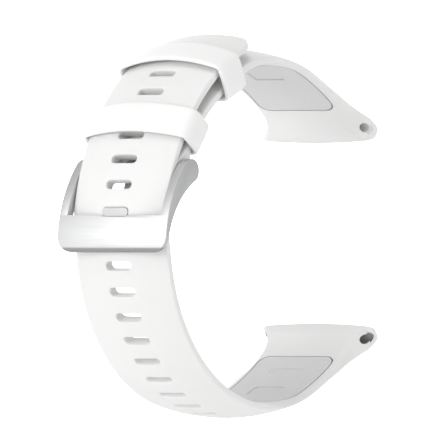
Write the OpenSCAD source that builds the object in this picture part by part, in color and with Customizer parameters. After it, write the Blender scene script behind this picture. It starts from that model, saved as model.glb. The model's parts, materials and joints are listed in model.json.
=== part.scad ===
// Two-piece moulded watch strap, buckled into a round loop.
// Sketch axes: x runs toward the watch case, y runs up, z runs across the strap.

/* [Strap] */
// Width of both straps
strap_w = 20; // [19:0.2:20.2]
// Thickness at the middle of a strap
strap_t = 2.3; // [2.1:0.05:2.35]
// Thickness left along a strap's long edges
edge_t = 0.8; // [0.6:0.1:1]
// Inner radius of the closed loop
loop_r = 30.4; // [30.3:0.05:30.45]
// Inner radius of the buckle strap where it runs under the tail
pad_r = 28.55; // [28.5:0.05:28.6]

/* [Slots] */
// Number of slots in the tail strap
slot_count = 20; // [10:1:20]
// Length of a slot across the strap
slot_w = 5.4; // [5.4:0.1:6]
// Height of a slot along the strap
slot_h = 1.5; // [1.2:0.1:1.8]
// Distance between slots, at mid thickness
slot_pitch = 4.67; // [4.65:0.01:4.69]
// Distance from the tail's tip to the first slot
slot_first = 7.04; // [7:0.02:7.1]

/* [Lugs] */
// Width over the flared ends
lug_w = 24.6; // [24:0.1:25]
// Radius of the rounded nose around the lug bore
nose_r = 2.1; // [1.8:0.1:2.3]
// Diameter of the lug bore
lug_bore_d = 1.75; // [1.5:0.05:2]

/* [Buckle] */
// Width over the buckle frame
frame_w = 23.7; // [23.4:0.1:25]
// Gap between the frame's arms
frame_gap = 20.4; // [20.3:0.1:20.6]
// Height of the buckle's plate
plate_h = 6.8; // [6:0.1:7]
// Thickness of the plate
plate_t = 1; // [0.9:0.1:1.2]
// Width of the tongue's shank
shank_w = 3.3; // [2.6:0.1:4]
// Width of the tongue's hooked tip
hook_w = 5; // [4.2:0.1:5]
// Outer diameter of the spring bar's tube
bar_d = 1.8; // [1.6:0.05:1.8]

/* [Keepers] */
// Length of a keeper along the strap
keeper_l = 6.2; // [5:0.1:7]
// Width over a keeper
keeper_w = 22.8; // [22.6:0.1:23.4]
// Position of the lower keeper, above the horizontal
lower_keeper_a = 37; // [36.5:0.5:38]
// Position of the upper keeper, above the horizontal
upper_keeper_a = 64.8; // [64:0.2:65.6]

/* [Inner panels] */
// Width of a panel let into a strap's inner face
panel_w = 16; // [14:0.2:17]
// Thickness of a panel
panel_t = 0.6; // [0.4:0.1:0.8]
// Gap all round a panel
panel_gap = 0.15; // [0.1:0.05:0.3]

/* [Hidden] */
$fn = 96;

silicone = [0.93, 0.93, 0.93];
panel_grey = [0.84, 0.84, 0.85];
steel = [0.66, 0.67, 0.69];
eps = 0.01;

// Lug bores, mirrored above and below the horizontal
lug_y = 27.6;
lug_z = 18.8;
lug_r = norm([lug_y, lug_z]);
lug_a = atan2(lug_z, lug_y);

// Near a lug each strap leaves the loop on a flatter arc
flat_r = 70;
flat_first_a = 37;
flat_end_a = 64;
flat_in_r = 31.35;
flat_c = arc_centre(flat_in_r * dir(flat_first_a), loop_r * dir(flat_end_a), flat_r);
flat_from = bearing(flat_in_r * dir(flat_first_a) - flat_c);
flat_to = bearing(loop_r * dir(flat_end_a) - flat_c);

// The tail rides over the buckle strap on a wider arc of its own,
// which one link arc joins to the loop
over_c = [5.35, -2.09];
over_r = 36.7;
tip_a = 104.1;
over_end_a = 170;
link_end_a = 190;
link_r = 27.6;
lap = 0.55;
link_first = over_c + over_r * dir(over_end_a);
link_c = arc_centre(link_first, loop_r * dir(link_end_a), link_r);

// Each stretch of the tail: centre, inner radius, first angle, last angle
tail_path = [
    [over_c, over_r, tip_a, over_end_a],
    [link_c, link_r, bearing(link_first - link_c),
     bearing(loop_r * dir(link_end_a) - link_c)],
    [[0, 0], loop_r, link_end_a, 360 - flat_end_a],
    [[flat_c.x, -flat_c.y], flat_r, 360 - flat_to, 360 - flat_from]
];
tip_corner_r = 5;
tongue_slot = 8;

// Buckle strap, which one ramp arc takes inward to run under the tail
ramp_first_a = 92;
ramp_end_a = 127;
ramp_r = 29.6;
pad_end_a = 153;
ramp_c = arc_centre(loop_r * dir(ramp_first_a), pad_r * dir(ramp_end_a), ramp_r);
buckle_path = [
    [flat_c, flat_r, flat_from, flat_to],
    [[0, 0], loop_r, flat_end_a, ramp_first_a],
    [ramp_c, ramp_r, bearing(loop_r * dir(ramp_first_a) - ramp_c),
     bearing(pad_r * dir(ramp_end_a) - ramp_c)],
    [[0, 0], pad_r, ramp_end_a, pad_end_a]
];
bar_y = -26.3;
bar_z = 11;
boss_r = 2.2;
boss_w = 19.8;
fit = 0.05;
tongue_room_r = 2.45;
tongue_room_w = 6.6;

// Buckle frame, between two arcs that meet round the bar
front_c = [-12.04, -2.87];
front_r = 22.12;
back_c = [-18.49, -4.2];
back_r = 15.07;
arm_end_r = 2.1;
arm_a = 37.4;
plate_top = 3.5;
plate_x = -34.15;
plate_in = -33.3;
plate_corner_r = 3;
notch_w = 5.3;
notch_h = 0.5;

// Tongue, its hook an arc about the bar
ring_r = 1.9;
hook_in = 8.9;
hook_out = 10.05;
hook_first_a = 228;
hook_last_a = 253;
hook_room = 0.15;
shank_t = 1.25;

// Spring bar
tube_l = 19;
tube_bore_d = 1.28;
lip_bore_d = 0.88;
lip_t = 0.6;
pin_head_d = 1.2;
pin_head_l = 2;
pin_tip_d = 0.8;
pin_out = 11.15;
pin_travel = 1.1;
pin_hole_l = 1;
wire_d = 0.22;
coil_turns = 10;

// Keepers: back of the wall, back of the hole and crown, as radii
lower_keeper_at = [26.7, 27.5, 34.65];
upper_keeper_at = [26.9, 27.8, 36];
keeper_wall = 0.85;
keeper_crown_r = 28;
keeper_hole_r = 31;
keeper_corner_r = 2.2;
keeper_hole_w = 20.7;

// Panels
panel_first_a = 45.6;
panel_last_a = 78;
panel_corner_r = 2;
panel_far_corner_r = 4;
recess = [3.5, 6.5, 0.2];
recess_a = 66.6;

function dir(a) = [cos(a), sin(a)];
function bearing(p) = (atan2(p.y, p.x) + 360) % 360;
function arc_centre(p, q, r) = let (m = (p + q) / 2, d = q - p, h = sqrt(r * r - d * d / 4))
    m + h * [-d.y, d.x] / norm(d);
function crown_r(t, w, edge) = (w * w / 4 + (t - edge) * (t - edge)) / (2 * (t - edge));
function lap_at(r) = lap / r * 180 / PI;
function mid_r(s) = s[1] + strap_t / 2;
function stretch(s) = (s[3] - s[2]) * PI / 180 * mid_r(s);
function station(d, i = 0) = d <= stretch(tail_path[i])
    ? [tail_path[i][0], mid_r(tail_path[i]), tail_path[i][2] + d / mid_r(tail_path[i]) * 180 / PI]
    : station(d - stretch(tail_path[i]), i + 1);

// From the sketch axes to the part's own, with its origin in the upper lug bore
module placed() translate([0, -lug_y, -lug_z]) rotate([90, 0, 90]) children();
module at_bar() translate([bar_y, bar_z, 0]) children();
module arc(a0, a1, c = [0, 0])
    translate([c.x, c.y, 0]) rotate_extrude(angle = a1 - a0, start = a0, $fn = 180) children();

// A strip's cross-section: flat inside, crowned outside
module section(r_in, t, w, edge) {
    cr = crown_r(t, w, edge);
    intersection() {
        translate([r_in, -w / 2]) square([t, w]);
        translate([r_in + t - cr, 0]) circle(cr, $fn = 360);
    }
}

module rounded_rect(x0, x1, w, r) {
    translate([x0 + r, -w / 2]) square([x1 - x0 - 2 * r, w]);
    translate([x0, -w / 2 + r]) square([x1 - x0, w - 2 * r]);
    for (x = [x0 + r, x1 - r], y = [-w / 2 + r, w / 2 - r]) translate([x, y]) circle(r);
}

// What a corner of radius r leaves outside it, as a prism along x
module corner_waste(l, r) rotate([0, 90, 0]) difference() {
    translate([-r - eps, -r - eps, -l / 2]) cube([r + eps, r + eps, l]);
    cylinder(r = r, h = l + 1, center = true);
}

// Slot through a strap, long across it, along local x
module stadium(l, w, h) {
    half = (w - h) / 2;
    cube([l, h, 2 * half], center = true);
    for (z = [-half, half]) translate([0, 0, z]) rotate([0, 90, 0])
        cylinder(d = h, h = l, center = true, $fn = 32);
}

// Flared end with its rounded nose, at angle 0
module lug_end() {
    flare_top = 7.3;
    spread = (lug_w - strap_w) / 2;
    fillet_r = 6.35;
    linear_extrude(lug_w, center = true) hull() {
        translate([lug_r, 0]) circle(nose_r);
        translate([lug_r - 0.75, -1.35]) circle(1.2);
    }
    intersection() {
        linear_extrude(lug_w, center = true) polygon([
            [lug_r - nose_r + 0.04, 0.3], [lug_r + nose_r - 0.1, 0.6],
            [30.85, flare_top], [30.05, flare_top], [30.95, 3.6]]);
        translate([loop_r, 0, 0]) rotate([0, 90, 0]) linear_extrude(12, center = true)
            difference() {
                translate([-lug_w / 2, -1]) square([lug_w, flare_top + 2]);
                for (s = [-1, 1]) translate([s * (strap_w / 2 + spread + 3.75), flare_top])
                    circle(fillet_r);
            }
    }
}

module lug_bore() rotate(lug_a) translate([lug_r, 0, 0])
    cylinder(d = lug_bore_d, h = lug_w + 2, center = true);

// A panel's outline as a slab through the strap, grown by g
module panel_slab(g) {
    mid_a = (panel_first_a + panel_last_a) / 2;
    half = loop_r * sin((panel_last_a - panel_first_a) / 2);
    rotate(mid_a) translate([loop_r, 0, 0]) rotate([0, 90, 0]) linear_extrude(10, center = true)
        intersection() {
            rotate(90) rounded_rect(-half - g, half + g, panel_w + 2 * g, panel_corner_r + g);
            rotate(90) rounded_rect(-half - g - 9, half + g, panel_w + 2 * g,
                                    panel_far_corner_r + g);
        }
}

module panel_body(g, t) intersection() {
    union() for (s = [[flat_c, flat_r, flat_from, flat_to],
              [[0, 0], loop_r, flat_end_a, panel_last_a + 4]])
        arc(s[2] - lap_at(s[1]), s[3] + lap_at(s[1]), s[0])
            translate([s[1] - g, -strap_w / 2]) square([t + g, strap_w]);
    panel_slab(g);
}

module panel() difference() {
    panel_body(0, panel_t);
    rotate(recess_a) translate([loop_r, 0, 0])
        cube([2 * recess[2], recess[0], recess[1]], center = true);
}

module buckle_strap() color(silicone) placed() difference() {
    union() {
        for (s = buckle_path) arc(s[2] - lap_at(s[1]), s[3] + lap_at(s[1]), s[0])
            section(s[1], strap_t, strap_w, edge_t);
        rotate(lug_a) lug_end();
        at_bar() cylinder(r = boss_r, h = boss_w, center = true);
        linear_extrude(boss_w, center = true) polygon([
            (pad_r + 0.05) * dir(pad_end_a - 1), (pad_r + 2.05) * dir(pad_end_a - 1),
            [bar_y, bar_z] + boss_r * dir(152), [bar_y, bar_z] + boss_r * dir(-20)]);
    }
    lug_bore();
    panel_body(panel_gap, panel_t);
    at_bar() cylinder(d = bar_d + 2 * fit, h = strap_w + 2, center = true);
    at_bar() cylinder(r = tongue_room_r, h = tongue_room_w, center = true);
}

module tail_strap() color(silicone) placed() difference() {
    union() {
        for (s = tail_path) arc(max(s[2] - lap_at(s[1]), tip_a), s[3] + lap_at(s[1]), s[0])
            section(s[1], strap_t, strap_w, edge_t);
        mirror([0, 1, 0]) rotate(lug_a) lug_end();
    }
    mirror([0, 1, 0]) lug_bore();
    mirror([0, 1, 0]) panel_body(panel_gap, panel_t);
    for (side = [0, 1]) mirror([0, 0, side]) translate([over_c.x, over_c.y, 0]) rotate(tip_a)
        translate([over_r + strap_t / 2, tip_corner_r, strap_w / 2 - tip_corner_r])
            corner_waste(6, tip_corner_r);
    for (i = [0:slot_count - 1]) if (i != tongue_slot) {
        s = station(slot_first + i * slot_pitch);
        translate([s[0].x, s[0].y, 0]) rotate(s[2]) translate([s[1], 0, 0])
            stadium(strap_t + 2, slot_w, slot_h);
    }
    at_bar() arc(hook_first_a - 6, hook_last_a - 2)
        translate([hook_in - hook_room, -slot_w / 2])
            square([hook_out - hook_in + 2 * hook_room, slot_w]);
}

module upper_panel() color(panel_grey) placed() panel();
module lower_panel() color(panel_grey) placed() mirror([0, 1, 0]) panel();

// Side view of the frame: a blade that narrows from the bar to the plate
module blade() {
    intersection() {
        difference() {
            translate(front_c) circle(front_r, $fn = 180);
            translate(back_c) circle(back_r, $fn = 180);
        }
        translate([bar_y, bar_z]) rotate(arm_a + 180) translate([0, -10]) square([40, 20]);
    }
    translate([bar_y, bar_z]) circle(arm_end_r);
    intersection() {
        translate(front_c) circle(front_r, $fn = 180);
        translate([plate_x, plate_top - plate_h]) square([plate_t, plate_h - 1.5]);
    }
}

module buckle_frame() color(steel) placed() difference() {
    linear_extrude(frame_w, center = true) blade();
    translate([-50, plate_top - plate_h - 20, -20]) cube([50, 20, 40]);
    translate([-50, plate_top, -frame_gap / 2]) cube([50, 30, frame_gap]);
    translate([plate_in, -10, -frame_gap / 2]) cube([20, 30, frame_gap]);
    translate([-50, plate_top - notch_h, -notch_w / 2]) cube([50, 30, notch_w]);
    for (side = [0, 1]) mirror([0, 0, side])
        translate([plate_x, plate_top - plate_h + plate_corner_r, frame_w / 2 - plate_corner_r])
            corner_waste(6, plate_corner_r);
    at_bar() for (s = [-1, 1]) translate([0, 0, s * (frame_gap + pin_hole_l) / 2])
        cylinder(d = pin_tip_d + 2 * fit, h = pin_hole_l + eps, center = true);
}

module buckle_tongue() color(steel) placed() at_bar() difference() {
    union() {
        cylinder(r = ring_r, h = shank_w, center = true);
        rotate(hook_last_a - 4) translate([0, -shank_t / 2, -shank_w / 2])
            cube([hook_out - 0.4, shank_t, shank_w]);
        arc(hook_first_a, hook_last_a) translate([hook_in, -hook_w / 2])
            square([hook_out - hook_in, hook_w]);
    }
    cylinder(d = bar_d + 2 * fit, h = shank_w + 1, center = true);
}

module spring_bar_tube() color(steel) placed() at_bar() difference() {
    cylinder(d = bar_d, h = tube_l, center = true);
    cylinder(d = tube_bore_d, h = tube_l - 2 * lip_t, center = true);
    cylinder(d = lip_bore_d, h = tube_l + 1, center = true);
}

module spring_pin() {
    head_end = tube_l / 2 - lip_t - eps;
    translate([0, 0, head_end - pin_head_l]) cylinder(d = pin_head_d, h = pin_head_l);
    translate([0, 0, head_end - eps]) cylinder(d = pin_tip_d, h = pin_out - head_end);
}
module spring_bar_pin_right() color(steel) placed() at_bar() spring_pin();
module spring_bar_pin_left() color(steel) placed() at_bar() mirror([0, 0, 1]) spring_pin();

// The coil spring between the pins, shown pressed short by both pins' travel
module spring_bar_spring() color(steel) placed() at_bar() {
    coil_r = (tube_bore_d - wire_d) / 2 - fit;
    coil_l = tube_l - 2 * (lip_t + pin_head_l + pin_travel + fit) - wire_d;
    steps = 10;
    sides = 5;
    n = coil_turns * steps;
    points = [for (i = [0:n]) for (j = [0:sides - 1])
        let (a = 360 * i / steps, b = 360 * j / sides, r = coil_r + wire_d / 2 * cos(b))
        [r * cos(a), r * sin(a), coil_l * (i / n - 0.5) + wire_d / 2 * sin(b)]];
    wall = [for (i = [0:n - 1]) for (j = [0:sides - 1])
        let (k = (j + 1) % sides)
        [i * sides + j, i * sides + k, (i + 1) * sides + k, (i + 1) * sides + j]];
    polyhedron(points, concat([[for (j = [sides - 1:-1:0]) j]], wall,
        [[for (j = [0:sides - 1]) n * sides + j]]));
}

// A straight closed band round both straps, with a crowned front
module keeper(a, at) color(silicone) placed()
    rotate(180 - a) rotate([90, 0, 0]) linear_extrude(keeper_l, center = true) difference() {
        intersection() {
            rounded_rect(at[0], at[2], keeper_w, keeper_corner_r);
            translate([at[2] - keeper_crown_r, 0]) circle(keeper_crown_r, $fn = 360);
        }
        intersection() {
            translate([at[1], -keeper_hole_w / 2]) square([9, keeper_hole_w]);
            translate([at[2] - keeper_wall - keeper_hole_r, 0])
                circle(keeper_hole_r, $fn = 360);
        }
    }
module lower_keeper() keeper(lower_keeper_a, lower_keeper_at);
module upper_keeper() keeper(upper_keeper_a, upper_keeper_at);

buckle_strap();
tail_strap();
upper_panel();
lower_panel();
buckle_frame();
buckle_tongue();
spring_bar_tube();
spring_bar_pin_left();
spring_bar_pin_right();
spring_bar_spring();
lower_keeper();
upper_keeper();
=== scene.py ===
import json
import math
from bisect import bisect_left

import bmesh
import bpy
from mathutils import Matrix, Vector


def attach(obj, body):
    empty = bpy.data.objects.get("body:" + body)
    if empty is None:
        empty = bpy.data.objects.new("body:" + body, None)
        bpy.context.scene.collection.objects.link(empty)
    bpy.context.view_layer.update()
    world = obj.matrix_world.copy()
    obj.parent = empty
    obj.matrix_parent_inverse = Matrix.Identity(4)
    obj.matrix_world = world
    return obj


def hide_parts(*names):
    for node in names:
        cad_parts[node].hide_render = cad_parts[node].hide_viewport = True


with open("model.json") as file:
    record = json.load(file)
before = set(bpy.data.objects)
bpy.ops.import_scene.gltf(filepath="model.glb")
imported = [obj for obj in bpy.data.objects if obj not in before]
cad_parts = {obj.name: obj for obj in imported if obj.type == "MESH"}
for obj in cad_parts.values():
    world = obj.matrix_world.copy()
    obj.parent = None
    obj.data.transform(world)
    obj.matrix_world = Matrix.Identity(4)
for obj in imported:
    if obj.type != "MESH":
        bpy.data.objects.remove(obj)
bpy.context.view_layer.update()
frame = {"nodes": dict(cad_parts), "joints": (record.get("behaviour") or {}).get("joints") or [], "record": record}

mm = 0.001

# where the design says things are
joints = {j["name"]: j for j in frame["joints"]}
mounts = {m["name"]: m for m in frame["record"]["mounts"]}
# shapes are drawn in millimetres from the loop's centre, and moved to the frame when finished
loopCentre = Vector(joints["lower_keeper_slide"]["pos_m"]) / mm
barPlace = Vector(joints["frame_swing"]["pos_m"]) / mm - loopCentre
lugPlace = Vector(mounts["upper_lug_bore"]["pos_m"]) / mm - loopCentre
boreRadius = mounts["upper_lug_bore"]["dims"]["r_mm"]
lugAngle = math.degrees(math.atan2(lugPlace.z, lugPlace.y))
lugReach = math.hypot(lugPlace.y, lugPlace.z)
barAngle = math.degrees(math.atan2(barPlace.z, barPlace.y))
barReach = math.hypot(barPlace.y, barPlace.z)
print("frame read: lug at %.1f deg, bar at %.1f deg" % (lugAngle, barAngle))


def smooth(t):
    t = min(max(t, 0.0), 1.0)
    return t * t * (3 - 2 * t)


def hermite(t, h0, m0, h1, m1):
    # cubic from h0 to h1 with end slopes m0, m1 per unit t
    t2, t3 = t * t, t * t * t
    return (h0 * (2 * t3 - 3 * t2 + 1) + m0 * (t3 - 2 * t2 + t)
            + h1 * (3 * t2 - 2 * t3) + m1 * (t3 - t2))


def sideView(angle, reach):
    # a place in the side view, from the loop's centre
    a = math.radians(angle)
    return Vector((0, reach * math.cos(a), reach * math.sin(a)))


def toFrame(point):
    return (point + loopCentre) * mm


def meshObject(name, bm):
    mesh = bpy.data.meshes.new(name)
    bm.to_mesh(mesh)
    bm.free()
    obj = bpy.data.objects.new(name, mesh)
    bpy.context.scene.collection.objects.link(obj)
    return obj


def applyModifiers(obj):
    graph = bpy.context.evaluated_depsgraph_get()
    mesh = bpy.data.meshes.new_from_object(obj.evaluated_get(graph))
    old = obj.data
    obj.modifiers.clear()
    obj.data = mesh
    bpy.data.meshes.remove(old)
    mesh.name = obj.name


def subdivided(obj, levels):
    mod = obj.modifiers.new("smooth", "SUBSURF")
    mod.levels = mod.render_levels = levels
    applyModifiers(obj)


def cutBy(obj, cutters, operation="DIFFERENCE"):
    for cutter in cutters:
        mod = obj.modifiers.new("cut", "BOOLEAN")
        mod.operation, mod.solver, mod.object = operation, "EXACT", cutter
        applyModifiers(obj)
        bpy.data.objects.remove(cutter)


def finishMesh(obj, sharpAngle):
    # doubles merged, normals outwards, creases sharp above an angle, place in the mesh
    bm = bmesh.new()
    bm.from_mesh(obj.data)
    bmesh.ops.remove_doubles(bm, verts=bm.verts, dist=1e-4)
    bmesh.ops.dissolve_degenerate(bm, edges=bm.edges, dist=1e-4)
    bmesh.ops.recalc_face_normals(bm, faces=bm.faces)
    for v in bm.verts:
        v.co = toFrame(v.co)
    for f in bm.faces:
        f.smooth = True
    for e in bm.edges:
        e.smooth = len(e.link_faces) == 2 and e.calc_face_angle(0) < math.radians(sharpAngle)
    bm.to_mesh(obj.data)
    bm.free()


def cylinderAlongX(name, place, radius, length, segments=64):
    bm = bmesh.new()
    bmesh.ops.create_cone(bm, cap_ends=True, segments=segments, radius1=radius,
                          radius2=radius, depth=length)
    bmesh.ops.rotate(bm, verts=bm.verts, matrix=Matrix.Rotation(math.pi / 2, 3, "Y"))
    bmesh.ops.translate(bm, verts=bm.verts, vec=place)
    return meshObject(name, bm)


class Socket:
    # a node's output, with arithmetic that adds Math nodes

    def __init__(self, tree, out):
        self.tree, self.out = tree, out

    def node(self, kind, values=None, output=0, ramp=None, **settings):
        n = self.tree.nodes.new(kind)
        for key, value in settings.items():
            setattr(n, key, value)
        if ramp:
            stops = n.color_ramp.elements
            for i, (at, grey) in enumerate(ramp):
                stop = stops[i] if i < len(stops) else stops.new(at)
                stop.position, stop.color = at, (grey, grey, grey, 1)
        for key, value in (values or {}).items():
            if isinstance(value, Socket):
                self.tree.links.new(value.out, n.inputs[key])
            else:
                n.inputs[key].default_value = value
        return Socket(self.tree, n.outputs[output])

    def maths(self, operation, a, b):
        return self.node("ShaderNodeMath", {0: a, 1: b}, operation=operation)

    def __add__(self, other):
        return self.maths("ADD", self, other)

    __radd__ = __add__

    def __sub__(self, other):
        return self.maths("SUBTRACT", self, other)

    def __rsub__(self, other):
        return self.maths("SUBTRACT", other, self)

    def __mul__(self, other):
        return self.maths("MULTIPLY", self, other)

    __rmul__ = __mul__

    def into(self, socket):
        self.tree.links.new(self.out, socket)


def newMaterial(name, **constants):
    # a material, its Principled node and its object coordinates
    mat = bpy.data.materials.new(name)
    mat.use_nodes = True
    tree = mat.node_tree
    shader = next(n for n in tree.nodes if n.type == "BSDF_PRINCIPLED")
    for key, value in constants.items():
        shader.inputs[key.replace("_", " ")].default_value = value
    coords = tree.nodes.new("ShaderNodeTexCoord")
    return mat, shader, Socket(tree, coords.outputs["Object"])


siliconeLook = {
    "white": (0.8, 0.8, 0.795, 1), "shade": (0.76, 0.76, 0.755, 1),
    "roughness": 0.5, "roughSwing": 0.16, "grain": 9000, "grainDepth": 0.00003,
    "cloud": 160, "speck": 2600,
}


def siliconeMaterial(name, look, tint=1.0):
    mat, shader, at = newMaterial(name, Subsurface_Weight=0.12, Specular_IOR_Level=0.45)
    shader.inputs["Subsurface Radius"].default_value = (0.0011, 0.001, 0.0009)
    shader.inputs["Subsurface Scale"].default_value = 1.0
    cloud = at.node("ShaderNodeTexNoise", {"Vector": at, "Scale": look["cloud"], "Detail": 3.0})
    speck = at.node("ShaderNodeTexNoise", {"Vector": at, "Scale": look["speck"], "Detail": 2.0})
    grain = at.node("ShaderNodeTexNoise", {"Vector": at, "Scale": look["grain"], "Detail": 2.0})
    dust = at.node("ShaderNodeValToRGB", {"Fac": speck}, ramp=[(0.62, 0), (0.75, 1)])
    blend = at.node("ShaderNodeMix", {
        0: cloud * 0.7 + dust * 0.25,
        6: [c * tint for c in look["white"][:3]] + [1],
        7: [c * tint for c in look["shade"][:3]] + [1]}, output=2, data_type="RGBA")
    blend.into(shader.inputs["Base Color"])
    rough = cloud * look["roughSwing"] + grain * 0.08 + (look["roughness"] - 0.12)
    rough.into(shader.inputs["Roughness"])
    bump = at.node("ShaderNodeBump", {"Height": grain * 0.7 + speck * 0.5, "Strength": 0.35,
                                      "Distance": look["grainDepth"]})
    bump.into(shader.inputs["Normal"])
    return mat


panelLook = {
    "pale": (0.7, 0.7, 0.7, 1), "dark": (0.63, 0.63, 0.632, 1),
    "roughness": 0.62, "cell": 2400, "depth": 0.00005, "cloud": 220,
}


def panelMaterial(name, look):
    # finely pebbled insert, greyer than the strap
    mat, shader, at = newMaterial(name, Specular_IOR_Level=0.35)
    cell = at.node("ShaderNodeTexVoronoi", {"Vector": at, "Scale": look["cell"]})
    cloud = at.node("ShaderNodeTexNoise", {"Vector": at, "Scale": look["cloud"], "Detail": 4.0})
    blend = at.node("ShaderNodeMix", {0: cloud * 0.6 + cell * 0.4, 6: look["pale"],
                                      7: look["dark"]}, output=2, data_type="RGBA")
    blend.into(shader.inputs["Base Color"])
    (cloud * 0.14 + (look["roughness"] - 0.07)).into(shader.inputs["Roughness"])
    bump = at.node("ShaderNodeBump", {"Height": cell, "Strength": 0.4,
                                      "Distance": look["depth"]})
    bump.into(shader.inputs["Normal"])
    return mat


steelLook = {
    "bright": (0.61, 0.612, 0.616, 1), "dull": (0.55, 0.552, 0.556, 1),
    # the rim colour is painted shade on the plate's lower edge, full at the first height below the loop's centre
    # and gone at the second
    "paintedRimShade": (0.33, 0.332, 0.336, 1), "paintedShadeBelow": (2.6, 2.35),
    "roughness": 0.46, "streak": 7000, "stretch": 0.02, "depth": 0.00002, "smudge": 130,
}


def steelMaterial(name, look, tint=1.0):
    # brushed across the strap: noise drawn out along X; painted shade darkens the plate's lower rim
    mat, shader, at = newMaterial(name, Metallic=0.8)
    drawn = at.node("ShaderNodeMapping", {"Vector": at, "Scale": (look["stretch"], 1, 1)})
    streak = at.node("ShaderNodeTexNoise", {"Vector": drawn, "Scale": look["streak"],
                                            "Detail": 3.0})
    smudge = at.node("ShaderNodeTexNoise", {"Vector": at, "Scale": look["smudge"],
                                            "Detail": 3.0})
    blend = at.node("ShaderNodeMix", {
        0: streak * 0.75 + smudge * 0.2,
        6: [c * tint for c in look["bright"][:3]] + [1],
        7: [c * tint for c in look["dull"][:3]] + [1]}, output=2, data_type="RGBA")
    height = at.node("ShaderNodeSeparateXYZ", {0: at}, output=2)
    # painted shade on the plate's lower edge: a mask by height, full low down and fading out above
    darkTo, clearFrom = [(loopCentre.z - below) * mm for below in look["paintedShadeBelow"]]
    paintedRimShade = at.node("ShaderNodeMapRange", {"Value": height, "From Min": darkTo,
                                         "From Max": clearFrom, "To Min": 1.0, "To Max": 0.0})
    blend = at.node("ShaderNodeMix", {0: paintedRimShade, 6: blend, 7: look["paintedRimShade"]}, output=2,
                    data_type="RGBA")
    blend.into(shader.inputs["Base Color"])
    rough = streak * 0.22 + smudge * 0.1 + (look["roughness"] - 0.14)
    rough.into(shader.inputs["Roughness"])
    bump = at.node("ShaderNodeBump", {"Height": streak, "Strength": 0.5,
                                      "Distance": look["depth"]})
    bump.into(shader.inputs["Normal"])
    return mat


silicone = siliconeMaterial("whiteSilicone", siliconeLook)
# the keepers' copy of the silicone is painted 11 per cent lighter: painted light, where they stand out in the
# light over the tail
keeperSiliconePaintedLight = siliconeMaterial("keeperSiliconePaintedLight", siliconeLook, 1.11)
panelSkin = panelMaterial("panelSkin", panelLook)
brushedSteel = steelMaterial("brushedSteel", steelLook)
# a copy of the brushed steel painted 20 per cent darker: painted shade on the tongue, which sits in the slot's
# shadow; the spring bar is drawn with it too
paintedShadeSteel = steelMaterial("paintedShadeSteel", steelLook, 0.8)
print("materials made")


class Path:
    # inner face of a strap in the side view, by arc length at mid thickness

    def __init__(self, firstAngle, lastAngle, reachAt, midHeight):
        self.reachAt = reachAt
        steps = 1200
        self.angles = [firstAngle + (lastAngle - firstAngle) * i / steps
                       for i in range(steps + 1)]
        self.lengths = [0.0]
        spots = [sideView(a, reachAt(a) + midHeight) for a in self.angles]
        for p, q in zip(spots, spots[1:]):
            self.lengths.append(self.lengths[-1] + (q - p).length)
        self.length = self.lengths[-1]

    def angleAt(self, s):
        s = min(max(s, 0.0), self.length)
        i = min(max(bisect_left(self.lengths, s), 1), len(self.lengths) - 1)
        t = (s - self.lengths[i - 1]) / (self.lengths[i] - self.lengths[i - 1])
        return self.angles[i - 1] + (self.angles[i] - self.angles[i - 1]) * t

    def lengthAt(self, angle):
        low, high = sorted((self.angles[0], self.angles[-1]))
        share = (angle - self.angles[0]) / (self.angles[-1] - self.angles[0])
        i = min(max(share, 0), 1) * (len(self.lengths) - 1)
        k = min(int(i), len(self.lengths) - 2)
        return self.lengths[k] + (self.lengths[k + 1] - self.lengths[k]) * (i - k)

    def place(self, x, s, h):
        # past either end the strip runs on straight
        a = self.angleAt(s)
        over = min(s, 0.0) + max(s - self.length, 0.0)
        step = 0.05
        here = sideView(a, self.reachAt(a))
        tangent = sideView(a + step, self.reachAt(a + step)) - sideView(
            a - step, self.reachAt(a - step))
        tangent.normalize()
        normal = Vector((0, tangent.z, -tangent.y))
        forward = tangent if self.angles[-1] > self.angles[0] else -tangent
        return here + normal * h + forward * over + Vector((x, 0, 0))


rimDepth = 0.45  # height of a strap's side wall, where its inner face is narrower


def stripMesh(name, rows, columns, halfWidth, top, bottom, slots=(), closeEnds=False,
              inset=lambda s: 0):
    # a flat strip: x across, y along, z up from its inner face; each column gives x for
    # a half width, slots are cut through, and ends that don't draw to a line are capped
    n = len(columns)
    ring = ([("top", i) for i in range(n)] + [("side", 1, 0.72), ("side", 1, 0.28)]
            + [("bottom", i) for i in reversed(range(n))]
            + [("side", -1, 0.28), ("side", -1, 0.72)])
    bm = bmesh.new()
    bmesh.ops.create_grid(bm, x_segments=len(ring), y_segments=len(rows) - 1, size=0.5)
    bm.verts.ensure_lookup_table()
    across, along = len(ring), len(rows) - 1
    tagged = {}
    for v in bm.verts:
        i = round((v.co.x + 0.5) * across)
        j = round((v.co.y + 0.5) * along)
        s, spot = rows[j], ring[i % len(ring)]
        half = halfWidth(s)
        if spot[0] == "side":
            x = spot[1] * half
            hTop, hBottom = top(x, s), bottom(x, s)
            drawn = min(inset(s), 1)
            hBottom += max(hTop - rimDepth * drawn - hBottom, 0) * drawn
            v.co = (x, s, hBottom + (hTop - hBottom) * spot[2])
        elif spot[0] == "top":
            x = columns[spot[1]](half)
            v.co = (x, s, top(x, s))
        else:
            x = columns[spot[1]](half - inset(s))
            v.co = (x, s, bottom(x, s))
        tagged[(spot[0], spot[1], j)] = v if i < len(ring) else tagged.get(
            (spot[0], spot[1], j), v)
    for slot in slots:
        cutSlot(bm, tagged, columns, rows, slot)
    bmesh.ops.remove_doubles(bm, verts=bm.verts, dist=1e-5)
    bmesh.ops.dissolve_degenerate(bm, edges=bm.edges, dist=1e-5)
    if closeEnds:
        bmesh.ops.holes_fill(bm, edges=bm.edges)
    bmesh.ops.recalc_face_normals(bm, faces=bm.faces)
    return meshObject(name, bm)


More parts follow.
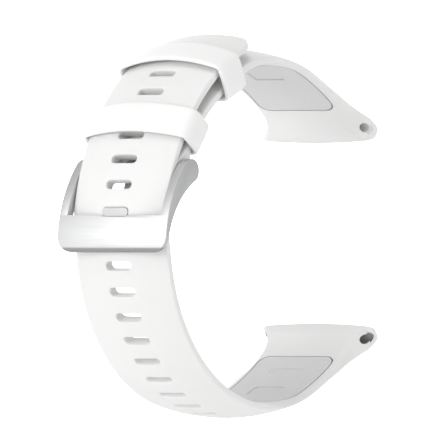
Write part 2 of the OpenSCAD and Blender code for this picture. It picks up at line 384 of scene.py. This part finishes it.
def cutSlot(bm, tagged, columns, rows, slot):
    # the cell's faces become one, inset into rings that draw in to the slot's outline
    rims = {}
    for side, up in (("top", 1), ("bottom", -1)):
        cell = {tagged[(side, i, j)] for i in slot["columns"] for j in slot["rows"]}
        faces = [f for f in bm.faces if all(v in cell for v in f.verts)]
        face = bmesh.ops.dissolve_faces(bm, faces=faces, use_verts=False)["region"][0]
        centre = slot["at"] + (slot["lean"] if up < 0 else 0)
        straight = (slot["width"] - slot["height"]) / 2
        for grow, sink in strapLook["slotRings"]:
            bmesh.ops.inset_individual(bm, faces=[face], thickness=0.001)
            for v in face.verts:
                cx = min(max(v.co.x, -straight), straight)
                away = Vector((v.co.x - cx, v.co.y - slot["at"]))
                away = away.normalized() * (slot["height"] / 2 + grow)
                v.co = (cx + away.x, centre + away.y, v.co.z - up * sink)
        rims[side] = list(face.edges)
        bmesh.ops.delete(bm, geom=[face], context="FACES_ONLY")
    bmesh.ops.bridge_loops(bm, edges=rims["top"] + rims["bottom"])


def fixedColumn(x):
    return lambda half: x


def shareColumn(side, share, inner):
    return lambda half: side * (inner + (half - inner) * share)


def wrapOnto(obj, path):
    for v in obj.data.vertices:
        v.co = path.place(*v.co)


strapLook = {
    # section, and the reach of the loop's inner face
    "halfWidth": 10.0, "thickness": 2.3, "edge": 0.8, "innerReach": 30.4,
    # the tail's overlap has a wider arc, joined to the loop from linkFrom to linkTo degrees
    "wideCentre": (5.35, -2.09), "wideReach": 36.7, "linkFrom": 170, "linkTo": 190,
    "tipAngle": 96.1, "tipCorner": 5.0, "tipRound": 0.6, "tipMiddle": 0.45,
    "tipThinning": 0.3, "tipThinLength": 16,
    "slotFirst": 7.04, "slotPitch": 4.67, "slotCount": 20, "slotWidth": 5.4,
    "slotHeight": 1.5, "tongueSlot": 8, "tongueLean": 1.05, "cell": 1.9,
    "slotRings": ((0.42, 0.0), (0.22, 0.0), (0.06, 0.07), (0.0, 0.24)),
    # the buckle strap draws in toward the buckle
    "padReach": 28.55, "rampFrom": 90, "rampTo": 127,
    # flare, nose and heel of a lug, by distance to its bore
    "lugHalf": 12.28, "flareFrom": 4.6, "flareSpan": 6.4, "flareOut": 2.45, "flareCurve": 2.2,
    "nose": 2.1, "noseJoin": 7.3, "noseMeet": 0.6, "noseShoulder": 1.75, "noseTop": 1.16,
    "heel": 1.2, "heelBack": 1.35, "heelDrop": 0.75, "heelRise": 0.15, "noseBow": 0.24,
    "topSlope": 0.1, "underSlope": -0.6, "underRise": 0.08, "noseFall": 1.6,
    # edges: raised near a lug, waisted before its nose, lipped elsewhere
    "edgeRise": 0.7, "riseFrom": 12.5, "riseSpan": 7, "waist": 0.45, "waistCurve": 1.8,
    "lip": 0.35, "lipFrom": 8.7, "lipSpan": 1.2, "lipFade": (10, 8),
    # inner face near a lug: lifted off the loop, and narrower than the strap
    "lugLift": 0.95, "liftFrom": 64, "liftTo": 38,
    "margin": 1.3, "marginFrom": 92, "marginSpan": 14,
    "spotAt": 11.05, "spot": 1.2, "sharp": 40,
}
halfW = strapLook["halfWidth"]


def crown(x):
    # a circular crown over the width
    drop = strapLook["thickness"] - strapLook["edge"]
    radius = (halfW * halfW + drop * drop) / (2 * drop)
    return strapLook["thickness"] - radius + math.sqrt(max(radius * radius - x * x, 0))


def lugFlare(toPin):
    # half width near the lug: a fillet that opens out to the nose
    k = strapLook
    into = max(k["flareFrom"] - toPin, 0) / k["flareSpan"]
    return min(halfW + k["flareOut"] * into ** k["flareCurve"], k["lugHalf"])


def offHorizontal(angle):
    # degrees up or down from level on the case's side
    return abs(angle) if angle < 180 else 360 - angle


def loopReach(angle):
    # inner face of both straps away from the buckle, lifted off the circle near a lug
    k = strapLook
    off = offHorizontal(angle)
    return k["innerReach"] + k["lugLift"] * smooth(
        (k["liftFrom"] - off) / (k["liftFrom"] - k["liftTo"]))


def lugHeights(toPin, x, plainTop, plainBottom):
    # near the lug the edges rise and both faces run into the blunt nose
    k = strapLook
    centre, r, join, meet = lugReach - loopReach(lugAngle), k["nose"], k["noseJoin"], k["noseMeet"]
    nearEdge = (abs(x) / halfW) ** 2
    lipFrom, lipSpan = k["lipFade"]
    plainTop += k["edgeRise"] * smooth((k["riseFrom"] - toPin) / k["riseSpan"]) * nearEdge
    plainBottom -= (k["lip"] * smooth((abs(x) - k["lipFrom"]) / k["lipSpan"])
                    * smooth((toPin - lipFrom) / lipSpan))
    if toPin > join:
        return plainTop, plainBottom
    if toPin >= meet:
        t = (join - toPin) / (join - meet)
        waist = k["waist"] * math.sin(math.pi * t ** k["waistCurve"]) * nearEdge
        return (hermite(t, plainTop, 0, centre + r, k["topSlope"]) - waist,
                hermite(t, plainBottom, 0, centre - r + k["underRise"], k["underSlope"]))
    if toPin >= 0:
        return centre + r, centre - math.sqrt(r * r - toPin * toPin)
    return noseEnd(-toPin, centre)


def noseEnd(beyond, centre):
    # past the bore: a rounded top and a smaller round heel, drawn to one line
    k = strapLook
    r, shoulder, heel, back = k["nose"], k["noseShoulder"], k["heel"], k["heelBack"]
    closing = centre - k["heelDrop"]
    if beyond > shoulder:
        fall = (beyond - shoulder) / (back + heel - shoulder)
        high = centre + k["noseTop"] - (k["noseTop"] + k["heelDrop"]) * fall ** k["noseFall"]
    else:
        high = centre + math.sqrt(max(r * r - beyond * beyond, 0))
    if beyond > back:
        low = closing - math.sqrt(max(heel * heel - (beyond - back) ** 2, 0))
    else:
        low = centre - r + k["heelRise"] * smooth(beyond / back)
    return max(high, closing), min(low, closing)


innerColumns = [-3.6, -2.7, -1.8, -0.9, 0, 0.9, 1.8, 2.7, 3.6]
slotReach = innerColumns[-1]
outerShares = [0.25, 0.5, 0.75, 0.94, 1.0]
strapColumns = ([shareColumn(-1, f, slotReach) for f in reversed(outerShares)]
                + [fixedColumn(x) for x in innerColumns]
                + [shareColumn(1, f, slotReach) for f in outerShares])
slotColumns = range(len(outerShares), len(outerShares) + len(innerColumns))
noseSteps = [7.3, 6.1, 4.9, 3.8, 2.8, 1.95, 1.2, 0.6, 0, -0.7, -1.2, -1.6, -1.95, -2.25,
             -2.45, -2.55]


def spaced(first, last, step):
    count = max(1, round((last - first) / step))
    return [first + (last - first) * i / count for i in range(1, count)]


def tailReach(angle):
    # a wide arc over the buckle strap, a link, then the loop
    k = strapLook
    if angle >= k["linkTo"]:
        return loopReach(angle)
    cy, cz = k["wideCentre"]
    wide = k["wideReach"]

    def wideAt(angle):
        a = math.radians(angle)
        along = cy * math.cos(a) + cz * math.sin(a)
        return along + math.sqrt(wide * wide - cy * cy - cz * cz + along * along)

    if angle <= k["linkFrom"]:
        return wideAt(angle)
    span = k["linkTo"] - k["linkFrom"]
    slope = (wideAt(k["linkFrom"]) - wideAt(k["linkFrom"] - 1)) * span
    return hermite((angle - k["linkFrom"]) / span, wideAt(k["linkFrom"]), slope,
                   k["innerReach"], 0)


def buckleReach(angle):
    k = strapLook
    inward = smooth((angle - k["rampFrom"]) / (k["rampTo"] - k["rampFrom"]))
    return loopReach(angle) + (k["padReach"] - k["innerReach"]) * inward


def marginOf(path, s):
    # how far the inner face stops short of the edges, near a lug
    k = strapLook
    off = offHorizontal(path.angleAt(s))
    return k["margin"] * smooth((k["marginFrom"] - off) / k["marginSpan"])


def bowNose(strap, pin):
    # the lug's end stands out furthest in its middle
    for v in strap.data.vertices:
        beyond = v.co.y - pin
        if beyond > 0:
            across = v.co.x / strapLook["lugHalf"]
            v.co.y = pin + beyond * (1 - strapLook["noseBow"] * across ** 2)


def makeTail():
    k = strapLook
    path = Path(k["tipAngle"], 360 - lugAngle, tailReach, k["thickness"] / 2)
    pin = path.length
    rows = [0, 0.1, 0.35, 0.8, 1.5, 2.5, 3.7]
    slots = []
    for i in range(k["slotCount"]):
        at = k["slotFirst"] + i * k["slotPitch"]
        base = len(rows)
        rows += [at + d for d in (-k["cell"], -k["cell"] / 2, 0, k["cell"] / 2, k["cell"])]
        tongueHere = i == k["tongueSlot"]
        slots.append({"at": at, "rows": range(base, base + 5), "columns": slotColumns,
                      "lean": k["tongueLean"] if tongueHere else 0,
                      "width": k["slotWidth"], "height": k["slotHeight"]})
    rows += spaced(rows[-1], pin - k["noseJoin"], 1.6)
    rows += [pin - d for d in noseSteps]

    def halfWidth(s):
        if s < k["tipCorner"]:
            c = k["tipCorner"]
            return halfW - c + math.sqrt(max(c * c - (c - s) ** 2, 0))
        return lugFlare(pin - s)

    def heights(x, s):
        high = crown(min(abs(x), halfW))
        high -= k["tipThinning"] * (1 - smooth(s / k["tipThinLength"]))
        high, low = lugHeights(pin - s, min(abs(x), halfW), high, 0)
        if s < k["tipRound"]:
            fill = math.sqrt(max(1 - (1 - s / k["tipRound"]) ** 2, 0))
            mid = k["tipMiddle"] * high
            high, low = mid + (high - mid) * fill, mid + (low - mid) * fill
        return high, low

    tail = stripMesh("tailStrap", rows, strapColumns, halfWidth,
                     lambda x, s: heights(x, s)[0], lambda x, s: heights(x, s)[1], slots,
                     inset=lambda s: marginOf(path, s))
    bowNose(tail, pin)
    return tail, path


bossLook = {"radius": 2.2, "half": 9.9, "meet": 0.3, "joinAt": 5.0,
            "bore": 0.95, "room": 2.45, "roomWidth": 6.6}


def makeBuckleStrap():
    k = strapLook
    path = Path(barAngle, lugAngle, buckleReach, k["thickness"] / 2)
    pin = path.length
    boss, meet, joinAt = bossLook["radius"], bossLook["meet"], bossLook["joinAt"]
    barHeight = barReach - buckleReach(barAngle)
    rows = [-boss, -2.1, -1.85, -1.4, -0.9, -0.4, 0.2, 0.8, 1.6, 2.5, 3.6]
    rows += spaced(rows[-1], pin - k["noseJoin"], 1.5)
    rows += [pin - d for d in noseSteps]

    def heights(x, s):
        x = min(abs(x), halfW)
        high, low = crown(x), 0
        if s < joinAt:
            reach = math.sqrt(max(boss * boss - s * s, 0))
            r, span = math.sqrt(boss * boss - meet * meet), joinAt - meet
            if s <= meet:
                high, low = barHeight + reach, barHeight - reach
            else:
                t, slope = (s - meet) / span, meet / r * span
                high = hermite(t, barHeight + r, -slope, high, 0)
                low = hermite(t, barHeight - r, slope, low, 0)
        return lugHeights(pin - s, x, high, low)

    def halfWidth(s):
        return bossLook["half"] + (lugFlare(pin - s) - bossLook["half"]) * smooth(s / joinAt)

    strap = stripMesh("buckleStrap", rows, strapColumns, halfWidth,
                      lambda x, s: heights(x, s)[0], lambda x, s: heights(x, s)[1],
                      inset=lambda s: marginOf(path, s))
    bowNose(strap, pin)
    return strap, path


panelShape = {"half": 8.0, "thick": 0.9, "gap": 0.3, "from": 44.8, "to": 78,
              "nearCorner": 2.0, "farCorner": 4.0, "recessAt": 66.6,
              "recess": (3.25, 1.75, 0.2), "recessCorner": 0.5,
              "barAt": 53.0, "bar": (3.85, 1.0, 0.12), "sharp": 35}


def panelStrip(name, path, sign, grow, low, high):
    # the panel's outline, grown by a gap, as a thin strip on the inner face; sign is -1 below
    angles = [a if sign > 0 else 360 - a for a in (panelShape["from"], panelShape["to"])]
    near, far = (path.lengthAt(a) for a in angles)
    toFar = 1 if far > near else -1
    length = abs(far - near) + 2 * grow
    ends = [0, 0.05, 0.2, 0.5, 0.9, 1.4, 2.0, 2.8, 3.6, 4.4]
    steps = ends + spaced(ends[-1], length - ends[-1], 1.2)
    steps += [length - d for d in reversed(ends)]
    half = panelShape["half"] + grow

    def halfWidth(s):
        d = toFar * (s - near) + grow
        inset = 0
        for corner, gone in ((panelShape["nearCorner"], d),
                             (panelShape["farCorner"], length - d)):
            c = corner + grow
            if gone < c:
                inset = max(inset, c - math.sqrt(max(c * c - (c - gone) ** 2, 0)))
        return half - inset

    shares = [0.2, 0.4, 0.6, 0.8, 0.93, 0.985, 1]
    shares = [-f for f in reversed(shares)] + [0] + shares
    columns = [lambda w, f=f: w * f for f in shares]
    rows = [near + toFar * (d - grow) for d in steps]
    return stripMesh(name, rows, columns, halfWidth, lambda x, s: high, lambda x, s: low,
                     closeEnds=True)


def roundedSlab(name, at, halfX, halfY, corner, low, high):
    # a rounded rectangle standing from low to high, flat
    bm = bmesh.new()
    bmesh.ops.create_grid(bm, x_segments=12, y_segments=8, size=1)
    for v in bm.verts:
        x, y = v.co.x * halfX, v.co.y * halfY
        cx = min(max(x, corner - halfX), halfX - corner)
        cy = min(max(y, corner - halfY), halfY - corner)
        away = Vector((x - cx, y - cy))
        if away.length > 0:
            reach = max(abs(away.x), abs(away.y))
            away = away.normalized() * reach
        v.co = (cx + away.x, at + cy + away.y, low)
    rise = bmesh.ops.extrude_face_region(bm, geom=bm.faces[:])["geom"]
    bmesh.ops.translate(bm, verts=[g for g in rise if isinstance(g, bmesh.types.BMVert)],
                        vec=(0, 0, high - low))
    bmesh.ops.recalc_face_normals(bm, faces=bm.faces)
    return meshObject(name, bm)


def finished(obj, sharpAngle, material, body, slot, *nodes):
    finishMesh(obj, sharpAngle)
    obj.data.materials.append(material)
    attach(obj, body)
    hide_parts(*nodes)


def makePanel(name, path, sign, bars, node):
    panel = panelStrip(name, path, sign, 0, 0.0, panelShape["thick"])
    hx, hy, deep = panelShape["recess"]
    at = path.lengthAt(panelShape["recessAt"] if sign > 0 else 360 - panelShape["recessAt"])
    cuts = [roundedSlab("recessCut", at, hx, hy, panelShape["recessCorner"], -1, deep)]
    if bars:
        hx, hy, deep = panelShape["bar"]
        at = path.lengthAt(360 - panelShape["barAt"])
        cuts.append(roundedSlab("barCut", at, hx, hy, hy * 0.99, -1, deep))
    cutBy(panel, cuts)
    wrapOnto(panel, path)
    finished(panel, panelShape["sharp"], panelSkin, "root", "panel", node)


def makeStrap(strap, path, sign, node, barCuts):
    subdivided(strap, 1)
    pocket = panelStrip("pocketCut", path, sign, panelShape["gap"], -0.5, panelShape["thick"])
    cutBy(strap, [pocket])
    wrapOnto(strap, path)
    lug = Vector((0, lugPlace.y, sign * lugPlace.z))
    cuts = [cylinderAlongX("lugCut", lug, boreRadius, 30)]
    plugLength = 4
    for side in (-1, 1):
        # a flat face round the bore's mouth
        out = Vector((side * (strapLook["spotAt"] + plugLength / 2), 0, 0))
        cuts.append(cylinderAlongX("faceCut", lug + out, strapLook["spot"], plugLength))
    if barCuts:
        cuts.append(cylinderAlongX("boreCut", barPlace, bossLook["bore"], 24))
        cuts.append(cylinderAlongX("roomCut", barPlace, bossLook["room"],
                                   bossLook["roomWidth"], 96))
    cutBy(strap, cuts)
    finished(strap, strapLook["sharp"], silicone, "root", "silicone", node)


tail, tailPath = makeTail()
makeStrap(tail, tailPath, -1, "tail_strap", False)
buckleStrap, bucklePath = makeBuckleStrap()
makeStrap(buckleStrap, bucklePath, 1, "buckle_strap", True)
print("straps made: %.1f and %.1f mm long" % (tailPath.length, bucklePath.length))
makePanel("lowerPanel", tailPath, -1, True, "lower_panel")
makePanel("upperPanel", bucklePath, 1, False, "upper_panel")
print("panels let in")

keeperLook = {"half": 11.4, "crown": 28.0, "backCorner": 1.5, "frontCorner": 2.0,
              "wall": 0.9, "thinning": 0.42, "backShare": 0.78, "length": 6.2,
              "bulge": 0.05, "sharp": 50,
              # angle above the horizontal, back and front as distances from the middle
              "lower_keeper": (37, 26.72, 34.6, "keeper_low"),
              "upper_keeper": (64.8, 26.92, 35.95, "keeper_high")}


def arcPoints(cx, cy, r, a0, a1, n):
    # n points and outward directions round an arc
    out = []
    for i in range(n):
        a = math.radians(a0 + (a1 - a0) * i / (n - 1))
        out.append((cx + r * math.cos(a), cy + r * math.sin(a), math.cos(a), math.sin(a)))
    return out


def keeperOutline(back, front):
    # right half from the middle of the back to the middle of the front, then mirrored
    k = keeperLook
    half, bc, fc = k["half"], k["backCorner"], k["frontCorner"]
    crownY = front - k["crown"]
    cornerY = crownY + math.sqrt((k["crown"] - fc) ** 2 - (half - fc) ** 2)
    tilt = math.degrees(math.atan2(cornerY - crownY, half - fc))
    right = [(x, back, 0, -1) for x in (0, 2.5, 5, 7.5)]
    right += arcPoints(half - bc, back + bc, bc, -90, 0, 7)
    right += [(half, back + bc + (cornerY - back - bc) * t, 1, 0) for t in (0.3, 0.65)]
    right += arcPoints(half - fc, cornerY, fc, 0, tilt, 9)
    right += arcPoints(0, crownY, k["crown"], tilt, 90, 10)[1:]
    left = [(-x, y, -nx, ny) for x, y, nx, ny in reversed(right[1:-1])]
    return right + left


def keeperWall():
    # round the wall's section: (place along the strap, depth from the outer face)
    k = keeperLook
    e, t = k["length"] / 2, k["wall"]
    outer = [(-e + 0.42, 0), (-e * 0.45, -k["bulge"] * 0.8), (0, -k["bulge"]),
             (e * 0.45, -k["bulge"] * 0.8), (e - 0.42, 0)]
    end = [(e - 0.12, 0.12), (e, 0.36), (e, t - 0.3), (e - 0.1, t - 0.06)]
    inner = [(e - 0.4, t), (0, t), (-e + 0.4, t)]
    return outer + end + inner + [(-a, d) for a, d in reversed(end)]


def makeKeeper(node):
    k = keeperLook
    above, back, front, body = k[node]
    ridge = 180 - above
    outline, wall = keeperOutline(back, front), keeperWall()
    n, m = len(outline), len(wall)
    bm = bmesh.new()
    bmesh.ops.create_grid(bm, x_segments=n, y_segments=m, size=0.5)
    for v in bm.verts:
        x, y, nx, ny = outline[round((v.co.x + 0.5) * n) % n]
        along, depth = wall[round((v.co.y + 0.5) * m) % m]
        if ny > 0.5:
            depth *= 1 - k["thinning"] * (x / k["half"]) ** 2
        elif ny < -0.5:
            depth *= k["backShare"]
        v.co = (sideView(ridge, y - ny * depth) + sideView(ridge + 90, along)
                + Vector((x - nx * depth, 0, 0)))
    bmesh.ops.remove_doubles(bm, verts=bm.verts, dist=1e-5)
    bmesh.ops.recalc_face_normals(bm, faces=bm.faces)
    keeper = meshObject(node.split("_")[0] + "Keeper", bm)
    subdivided(keeper, 1)
    finished(keeper, k["sharp"], keeperSiliconePaintedLight, body, "silicone", node)


for node in ("lower_keeper", "upper_keeper"):
    makeKeeper(node)
print("keepers made")

frameLook = {"half": 11.82, "gapHalf": 10.2, "plateTop": 3.5, "plateBottom": -3.3,
             "plateInner": -33.3, "plateBack": -33.2, "cornerRadius": 3.0,
             "notchHalf": 2.65, "notchDeep": 0.5,
             "front": (-12.04, -2.87, 22.12), "back": (-18.49, -4.2, 15.07),
             "endRadius": 2.1, "lean": 37.4, "frontTop": 1.35, "backTop": 1.65,
             "backLow": 0.6, "plateBend": -0.4, "pinHole": 0.45,
             "lowerRound": 0.75, "bevel": 0.17, "sharp": 19}
clear = 20  # a height past both ends of the frame


def prism(name, outline, low, high, axis):
    # an outline given as pairs, extruded along axis: "x" from (y, z), "y" from (x, z)
    bm = bmesh.new()
    spots = [(low, p, q) if axis == "x" else (p, low, q) for p, q in outline]
    face = bm.faces.new([bm.verts.new(c) for c in spots])
    top = bmesh.ops.extrude_face_region(bm, geom=[face])["geom"]
    way = (high - low, 0, 0) if axis == "x" else (0, high - low, 0)
    bmesh.ops.translate(bm, verts=[g for g in top if isinstance(g, bmesh.types.BMVert)],
                        vec=way)
    bmesh.ops.recalc_face_normals(bm, faces=bm.faces)
    return meshObject(name, bm)


def circleY(circle, z):
    # left side of a circle at height z
    cy, cz, r = circle
    return cy - math.sqrt(r * r - (z - cz) ** 2)


def sideArc(circle, fromZ, toZ, count):
    # evenly spaced heights on the left side of a circle
    heights = [fromZ + (toZ - fromZ) * i / (count - 1) for i in range(count)]
    return [(circleY(circle, z), z) for z in heights]


def bladeOutline():
    # side view: up the front, round the arm's end, down the back to the plate
    k = frameLook
    y0, z0, lean, r = barPlace.y, barPlace.z, k["lean"], k["lowerRound"]
    startZ = k["plateBottom"] + r
    out = sideArc(k["front"], startZ, z0 + k["frontTop"], 27)
    out += [(p, q) for p, q, _, _ in arcPoints(y0, z0, k["endRadius"], lean + 85,
                                               lean - 85, 14)]
    out += sideArc(k["back"], z0 - k["backTop"], k["backLow"], 16)
    out += [(k["plateBack"], k["plateBend"]), (k["plateBack"] - 0.02, k["plateBottom"])]
    edge = circleY(k["front"], startZ)
    out += [(p, q) for p, q, _, _ in arcPoints(edge + r, startZ, r, 270, 195, 6)]
    return out


def planOutline():
    # the plate and arms seen from outside, with an eased notch for the tongue's tip
    k = frameLook
    h, g, c = k["half"], k["gapHalf"], k["cornerRadius"]
    low, top, n = k["plateBottom"], k["plateTop"], k["notchHalf"]
    right = [(p, q) for p, q, _, _ in arcPoints(h - c, low + c, c, -90, 0, 12)]
    right += [(h, clear), (g, clear), (g, top), (n + 0.25, top), (n, top - 0.15),
              (n - 0.12, top - k["notchDeep"] + 0.12), (n - 0.35, top - k["notchDeep"])]
    return right + [(-p, q) for p, q in reversed(right)]


def bevelled(obj, width):
    mod = obj.modifiers.new("edges", "BEVEL")
    mod.width, mod.segments, mod.limit_method = width, 3, "ANGLE"
    mod.angle_limit = math.radians(30)
    mod.harden_normals = False
    applyModifiers(obj)


def makeFrame():
    k = frameLook
    blade = prism("buckleFrame", bladeOutline(), -k["half"], k["half"], "x")
    cutBy(blade, [prism("planCut", planOutline(), -60, 0, "y")], "INTERSECT")
    relief = [(k["plateInner"], -clear), (k["plateInner"], clear), (0, clear), (0, -clear)]
    cuts = [prism("reliefCut", relief, -k["gapHalf"], k["gapHalf"], "x"),
            cylinderAlongX("holeCut", barPlace, k["pinHole"], 2 * (k["gapHalf"] + 1))]
    cutBy(blade, cuts)
    bevelled(blade, k["bevel"])
    finished(blade, k["sharp"], brushedSteel, "frame", "brushed_steel", "buckle_frame")


tongueLook = {"ring": 1.9, "bore": 0.95, "half": 1.65,
              # shank thickness, start and end from the bar, degrees short of the hook's end
              "shank": 1.24, "shankFrom": 1.2, "shankTo": 9.6, "shankBack": 4,
              # hook round the bar, then the tip's half width, bottom, top, outside and inside
              "hookHalf": 2.5, "hookIn": 8.9, "hookOut": 10.03, "first": 228, "last": 253,
              "tip": (2.75, 3.06, 4.52, -33.05, -32.0), "bevel": 0.14, "sharp": 19}


def makeTongue():
    k = tongueLook
    y0, z0 = barPlace.y, barPlace.z
    tongue = cylinderAlongX("buckleTongue", barPlace, k["ring"], 2 * k["half"], 48)
    a = math.radians(k["last"] - k["shankBack"])
    way, side = Vector((math.cos(a), math.sin(a))), Vector((-math.sin(a), math.cos(a)))
    here, thick = Vector((y0, z0)), side * k["shank"] / 2
    start, end = here + way * k["shankFrom"], here + way * k["shankTo"]
    corners = [start + thick, end + thick, end - thick, start - thick]
    shank = prism("shank", [tuple(c) for c in corners], -k["half"], k["half"], "x")
    outer = arcPoints(y0, z0, k["hookOut"], k["first"], k["last"], 10)
    inner = arcPoints(y0, z0, k["hookIn"], k["last"], k["first"], 10)
    hook = prism("hook", [(p, q) for p, q, _, _ in outer + inner], -k["hookHalf"],
                 k["hookHalf"], "x")
    across, low, high, outside, inside = k["tip"]
    r = (high - low) / 2
    rounds = arcPoints(across - r, low + r, r, -90, 90, 11)
    rounds += arcPoints(r - across, low + r, r, 90, 270, 11)
    tip = prism("tip", [(p, q) for p, q, _, _ in rounds], outside, inside, "y")
    cutBy(tongue, [shank, hook, tip], "UNION")
    cutBy(tongue, [cylinderAlongX("tongueBore", barPlace, k["bore"], 10)])
    bevelled(tongue, k["bevel"])
    finished(tongue, k["sharp"], paintedShadeSteel, "tongue", "brushed_steel", "buckle_tongue")


makeFrame()
makeTongue()
for node in ("spring_bar_tube", "spring_bar_pin_left", "spring_bar_pin_right",
             "spring_bar_spring"):
    mesh = frame["nodes"][node].data
    mesh.materials.clear()
    mesh.materials.append(paintedShadeSteel)
print("buckle made")

# level, and so far away that near and far edges keep one scale
shot = {"azimuth": 36, "viewWidth": 79.3, "away": 3000,
        "right": -0.28, "up": 1.68, "floorDrop": 80}
turn = math.radians(shot["azimuth"])
toCamera = Vector((math.sin(turn), -math.cos(turn), 0))
toRight = Vector((math.cos(turn), math.sin(turn), 0))


def makeCamera():
    aim = loopCentre + toRight * shot["right"] + Vector((0, 0, shot["up"]))
    cam = bpy.data.cameras.new("camera")
    cam.sensor_width = 36
    cam.lens = cam.sensor_width * shot["away"] / shot["viewWidth"]
    cam.clip_start, cam.clip_end = 0.01, 20
    obj = bpy.data.objects.new("camera", cam)
    obj.location = (aim + toCamera * shot["away"]) * mm
    obj.rotation_mode = "QUATERNION"
    obj.rotation_quaternion = (-toCamera).to_track_quat("-Z", "Y")
    bpy.context.scene.collection.objects.link(obj)
    bpy.context.scene.camera = obj


def areaLight(name, place, aim, size, power):
    lamp = bpy.data.lights.new(name, "AREA")
    lamp.shape, lamp.size, lamp.energy = "SQUARE", size, power
    obj = bpy.data.objects.new(name, lamp)
    obj.location = place
    obj.rotation_mode = "QUATERNION"
    obj.rotation_quaternion = (Vector(aim) - Vector(place)).to_track_quat("-Z", "Y")
    bpy.context.scene.collection.objects.link(obj)


lightLook = {
    # side, toward the camera, up (m from the loop), size (m), watts
    "key": ((-1.35, 0.75, 0.35), 1.0, 11.5),
    "fill": ((1.25, 0.8, 0.36), 0.8, 4.5),
    "top": ((-0.1, 0.5, 1.5), 1.0, 7.5),
    "world": 0.48, "floorGlow": 0.15, "backdropGlow": 1.05, "backdropAway": 5.0,
}


def stagePlane(name, glow, size, matrix):
    bm = bmesh.new()
    bmesh.ops.create_grid(bm, x_segments=1, y_segments=1, size=size)
    bmesh.ops.transform(bm, verts=bm.verts, matrix=matrix)
    plane = meshObject(name, bm)
    skin, shader, _ = newMaterial(name + "Skin", Roughness=0.9, Specular_IOR_Level=0.0)
    shader.inputs["Base Color"].default_value = (0.9, 0.9, 0.9, 1)
    shader.inputs["Emission Color"].default_value = (1, 1, 1, 1)
    shader.inputs["Emission Strength"].default_value = glow
    plane.data.materials.append(skin)


makeCamera()
middle = loopCentre * mm
floorHeight = (loopCentre.z - strapLook["innerReach"] - shot["floorDrop"]) * mm
stagePlane("floor", lightLook["floorGlow"], 8, Matrix.Translation((0, 0, floorHeight)))
stagePlane("backdrop", lightLook["backdropGlow"], 4,
           Matrix.Translation(middle - toCamera * lightLook["backdropAway"])
           @ Matrix.Rotation(turn, 4, "Z") @ Matrix.Rotation(math.pi / 2, 4, "X"))
for name in ("key", "fill", "top"):
    (side, near, up), size, watts = lightLook[name]
    place = middle + toRight * side + toCamera * near + Vector((0, 0, up))
    areaLight(name, place, middle, size, watts)
print("stage lit")

world = bpy.data.worlds.new("studio")
world.use_nodes = True
world.node_tree.nodes["Background"].inputs["Color"].default_value = (1, 1, 1, 1)
world.node_tree.nodes["Background"].inputs["Strength"].default_value = lightLook["world"]
bpy.context.scene.world = world
bpy.context.scene.view_settings.view_transform = "Standard"
